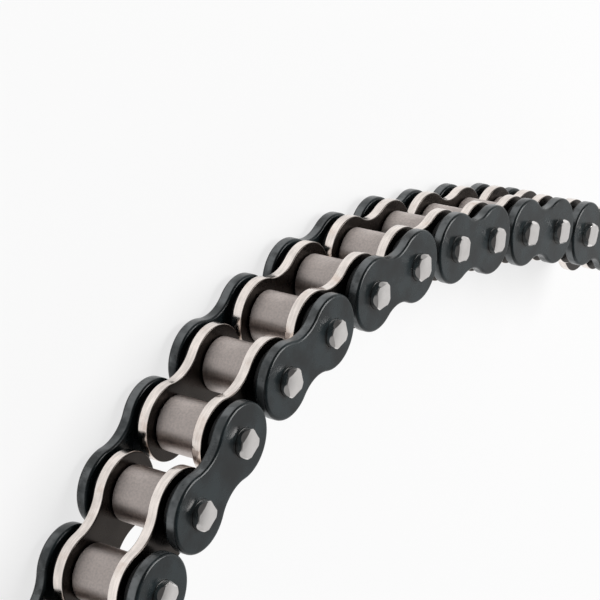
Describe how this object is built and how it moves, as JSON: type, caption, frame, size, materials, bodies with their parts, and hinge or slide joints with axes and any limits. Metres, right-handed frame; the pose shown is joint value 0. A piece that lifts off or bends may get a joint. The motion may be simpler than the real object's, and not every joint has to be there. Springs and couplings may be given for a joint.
{
  "type": "motorcycle chain",
  "caption": "Open strand of sealed motorcycle roller chain with black outer links, bright inner links, free-turning rollers and hinged pins.",
  "frame": {"origin": "centre of the free bush at the start of the strand", "axes": "+Z along the pins, out of the front plates; +X along the first link, towards its second bush; the strand bends towards +Y"},
  "size_m": [0.1517, 0.11, 0.0206],
  "materials": {
    "black_plate": "satin black over steel",
    "nickel_plate": "bright nickel-plated steel",
    "pin_steel": "bright ground steel",
    "roller_steel": "satin grey-brown steel",
    "bush_steel": "hardened steel",
    "seal_rubber": "matt black rubber"
  },
  "bodies": {
    "outer_link_1": {"outer_plate_front_1": "black_plate", "outer_plate_back_1": "black_plate", "pins_1": "pin_steel", "seal_rings_1": "seal_rubber"},
    "outer_link_2": {"outer_plate_front_2": "black_plate", "outer_plate_back_2": "black_plate", "pins_2": "pin_steel", "seal_rings_2": "seal_rubber"},
    "outer_link_3": {"outer_plate_front_3": "black_plate", "outer_plate_back_3": "black_plate", "pins_3": "pin_steel", "seal_rings_3": "seal_rubber"},
    "outer_link_4": {"outer_plate_front_4": "black_plate", "outer_plate_back_4": "black_plate", "pins_4": "pin_steel", "seal_rings_4": "seal_rubber"},
    "outer_link_5": {"outer_plate_front_5": "black_plate", "outer_plate_back_5": "black_plate", "pins_5": "pin_steel", "seal_rings_5": "seal_rubber"},
    "outer_link_6": {"outer_plate_front_6": "black_plate", "outer_plate_back_6": "black_plate", "pins_6": "pin_steel", "seal_rings_6": "seal_rubber"},
    "outer_link_7": {"outer_plate_front_7": "black_plate", "outer_plate_back_7": "black_plate", "pins_7": "pin_steel", "seal_rings_7": "seal_rubber"},
    "inner_link_1": {"inner_plates_1": "nickel_plate", "bushes_1": "bush_steel"},
    "inner_link_2": {"inner_plates_2": "nickel_plate", "bushes_2": "bush_steel"},
    "inner_link_3": {"inner_plates_3": "nickel_plate", "bushes_3": "bush_steel"},
    "inner_link_4": {"inner_plates_4": "nickel_plate", "bushes_4": "bush_steel"},
    "inner_link_5": {"inner_plates_5": "nickel_plate", "bushes_5": "bush_steel"},
    "inner_link_6": {"inner_plates_6": "nickel_plate", "bushes_6": "bush_steel"},
    "inner_link_7": {"inner_plates_7": "nickel_plate", "bushes_7": "bush_steel"},
    "inner_link_8": {"inner_plates_8": "nickel_plate", "bushes_8": "bush_steel"},
    "roller_1": {"roller_1": "roller_steel"},
    "roller_2": {"roller_2": "roller_steel"},
    "roller_3": {"roller_3": "roller_steel"},
    "roller_4": {"roller_4": "roller_steel"},
    "roller_5": {"roller_5": "roller_steel"},
    "roller_6": {"roller_6": "roller_steel"},
    "roller_7": {"roller_7": "roller_steel"},
    "roller_8": {"roller_8": "roller_steel"},
    "roller_9": {"roller_9": "roller_steel"},
    "roller_10": {"roller_10": "roller_steel"},
    "roller_11": {"roller_11": "roller_steel"},
    "roller_12": {"roller_12": "roller_steel"},
    "roller_13": {"roller_13": "roller_steel"},
    "roller_14": {"roller_14": "roller_steel"},
    "roller_15": {"roller_15": "roller_steel"},
    "roller_16": {"roller_16": "roller_steel"}
  },
  "joints": [
    {"name": "link_hinge_2", "type": "hinge", "parent": "outer_link_1", "child": "inner_link_1", "pos_m": [0.0127, 0, 0], "axis": [0, 0, -1], "range_deg": [-26, 18]},
    {"name": "link_hinge_3", "type": "hinge", "parent": "inner_link_2", "child": "outer_link_1", "pos_m": [0.02537, 0.00089, 0], "axis": [0, 0, -1], "range_deg": [-26, 18]},
    {"name": "link_hinge_4", "type": "hinge", "parent": "outer_link_2", "child": "inner_link_2", "pos_m": [0.03795, 0.00265, 0], "axis": [0, 0, -1], "range_deg": [-26, 18]},
    {"name": "link_hinge_5", "type": "hinge", "parent": "inner_link_3", "child": "outer_link_2", "pos_m": [0.05037, 0.00529, 0], "axis": [0, 0, -1], "range_deg": [-26, 18]},
    {"name": "link_hinge_6", "type": "hinge", "parent": "outer_link_3", "child": "inner_link_3", "pos_m": [0.06258, 0.00879, 0], "axis": [0, 0, -1], "range_deg": [-23, 21]},
    {"name": "link_hinge_7", "type": "hinge", "parent": "inner_link_4", "child": "outer_link_3", "pos_m": [0.07472, 0.01251, 0], "axis": [0, 0, -1], "range_deg": [-28.5, 15.5]},
    {"name": "link_hinge_8", "type": "hinge", "parent": "outer_link_4", "child": "inner_link_4", "pos_m": [0.08637, 0.01757, 0], "axis": [0, 0, -1], "range_deg": [-28.5, 15.5]},
    {"name": "link_hinge_9", "type": "hinge", "parent": "outer_link_4", "child": "inner_link_5", "pos_m": [0.09737, 0.02392, 0], "axis": [0, 0, 1], "range_deg": [-28.5, 15.5]},
    {"name": "link_hinge_10", "type": "hinge", "parent": "inner_link_5", "child": "outer_link_5", "pos_m": [0.10758, 0.03148, 0], "axis": [0, 0, 1], "range_deg": [-28.5, 15.5]},
    {"name": "link_hinge_11", "type": "hinge", "parent": "outer_link_5", "child": "inner_link_6", "pos_m": [0.11686, 0.04014, 0], "axis": [0, 0, 1], "range_deg": [-30.5, 13.5]},
    {"name": "link_hinge_12", "type": "hinge", "parent": "inner_link_6", "child": "outer_link_6", "pos_m": [0.12477, 0.05008, 0], "axis": [0, 0, 1], "range_deg": [-30.5, 13.5]},
    {"name": "link_hinge_13", "type": "hinge", "parent": "outer_link_6", "child": "inner_link_7", "pos_m": [0.13112, 0.06107, 0], "axis": [0, 0, 1], "range_deg": [-30.5, 13.5]},
    {"name": "link_hinge_14", "type": "hinge", "parent": "inner_link_7", "child": "outer_link_7", "pos_m": [0.13577, 0.07289, 0], "axis": [0, 0, 1], "range_deg": [-30.5, 13.5]},
    {"name": "link_hinge_15", "type": "hinge", "parent": "outer_link_7", "child": "inner_link_8", "pos_m": [0.13863, 0.08527, 0], "axis": [0, 0, 1], "range_deg": [-30.5, 13.5]},
    {"name": "roller_spin_1", "type": "hinge", "parent": "inner_link_1", "child": "roller_1", "pos_m": [0, 0, 0], "axis": [0, 0, 1], "continuous": true},
    {"name": "roller_spin_2", "type": "hinge", "parent": "inner_link_1", "child": "roller_2", "pos_m": [0.0127, 0, 0], "axis": [0, 0, 1], "continuous": true},
    {"name": "roller_spin_3", "type": "hinge", "parent": "inner_link_2", "child": "roller_3", "pos_m": [0.02537, 0.00089, 0], "axis": [0, 0, 1], "continuous": true},
    {"name": "roller_spin_4", "type": "hinge", "parent": "inner_link_2", "child": "roller_4", "pos_m": [0.03795, 0.00265, 0], "axis": [0, 0, 1], "continuous": true},
    {"name": "roller_spin_5", "type": "hinge", "parent": "inner_link_3", "child": "roller_5", "pos_m": [0.05037, 0.00529, 0], "axis": [0, 0, 1], "continuous": true},
    {"name": "roller_spin_6", "type": "hinge", "parent": "inner_link_3", "child": "roller_6", "pos_m": [0.06258, 0.00879, 0], "axis": [0, 0, 1], "continuous": true},
    {"name": "roller_spin_7", "type": "hinge", "parent": "inner_link_4", "child": "roller_7", "pos_m": [0.07472, 0.01251, 0], "axis": [0, 0, 1], "continuous": true},
    {"name": "roller_spin_8", "type": "hinge", "parent": "inner_link_4", "child": "roller_8", "pos_m": [0.08637, 0.01757, 0], "axis": [0, 0, 1], "continuous": true},
    {"name": "roller_spin_9", "type": "hinge", "parent": "inner_link_5", "child": "roller_9", "pos_m": [0.09737, 0.02392, 0], "axis": [0, 0, 1], "continuous": true},
    {"name": "roller_spin_10", "type": "hinge", "parent": "inner_link_5", "child": "roller_10", "pos_m": [0.10758, 0.03148, 0], "axis": [0, 0, 1], "continuous": true},
    {"name": "roller_spin_11", "type": "hinge", "parent": "inner_link_6", "child": "roller_11", "pos_m": [0.11686, 0.04014, 0], "axis": [0, 0, 1], "continuous": true},
    {"name": "roller_spin_12", "type": "hinge", "parent": "inner_link_6", "child": "roller_12", "pos_m": [0.12477, 0.05008, 0], "axis": [0, 0, 1], "continuous": true},
    {"name": "roller_spin_13", "type": "hinge", "parent": "inner_link_7", "child": "roller_13", "pos_m": [0.13112, 0.06107, 0], "axis": [0, 0, 1], "continuous": true},
    {"name": "roller_spin_14", "type": "hinge", "parent": "inner_link_7", "child": "roller_14", "pos_m": [0.13577, 0.07289, 0], "axis": [0, 0, 1], "continuous": true},
    {"name": "roller_spin_15", "type": "hinge", "parent": "inner_link_8", "child": "roller_15", "pos_m": [0.13863, 0.08527, 0], "axis": [0, 0, 1], "continuous": true},
    {"name": "roller_spin_16", "type": "hinge", "parent": "inner_link_8", "child": "roller_16", "pos_m": [0.13963, 0.09793, 0], "axis": [0, 0, 1], "continuous": true}
  ]
}
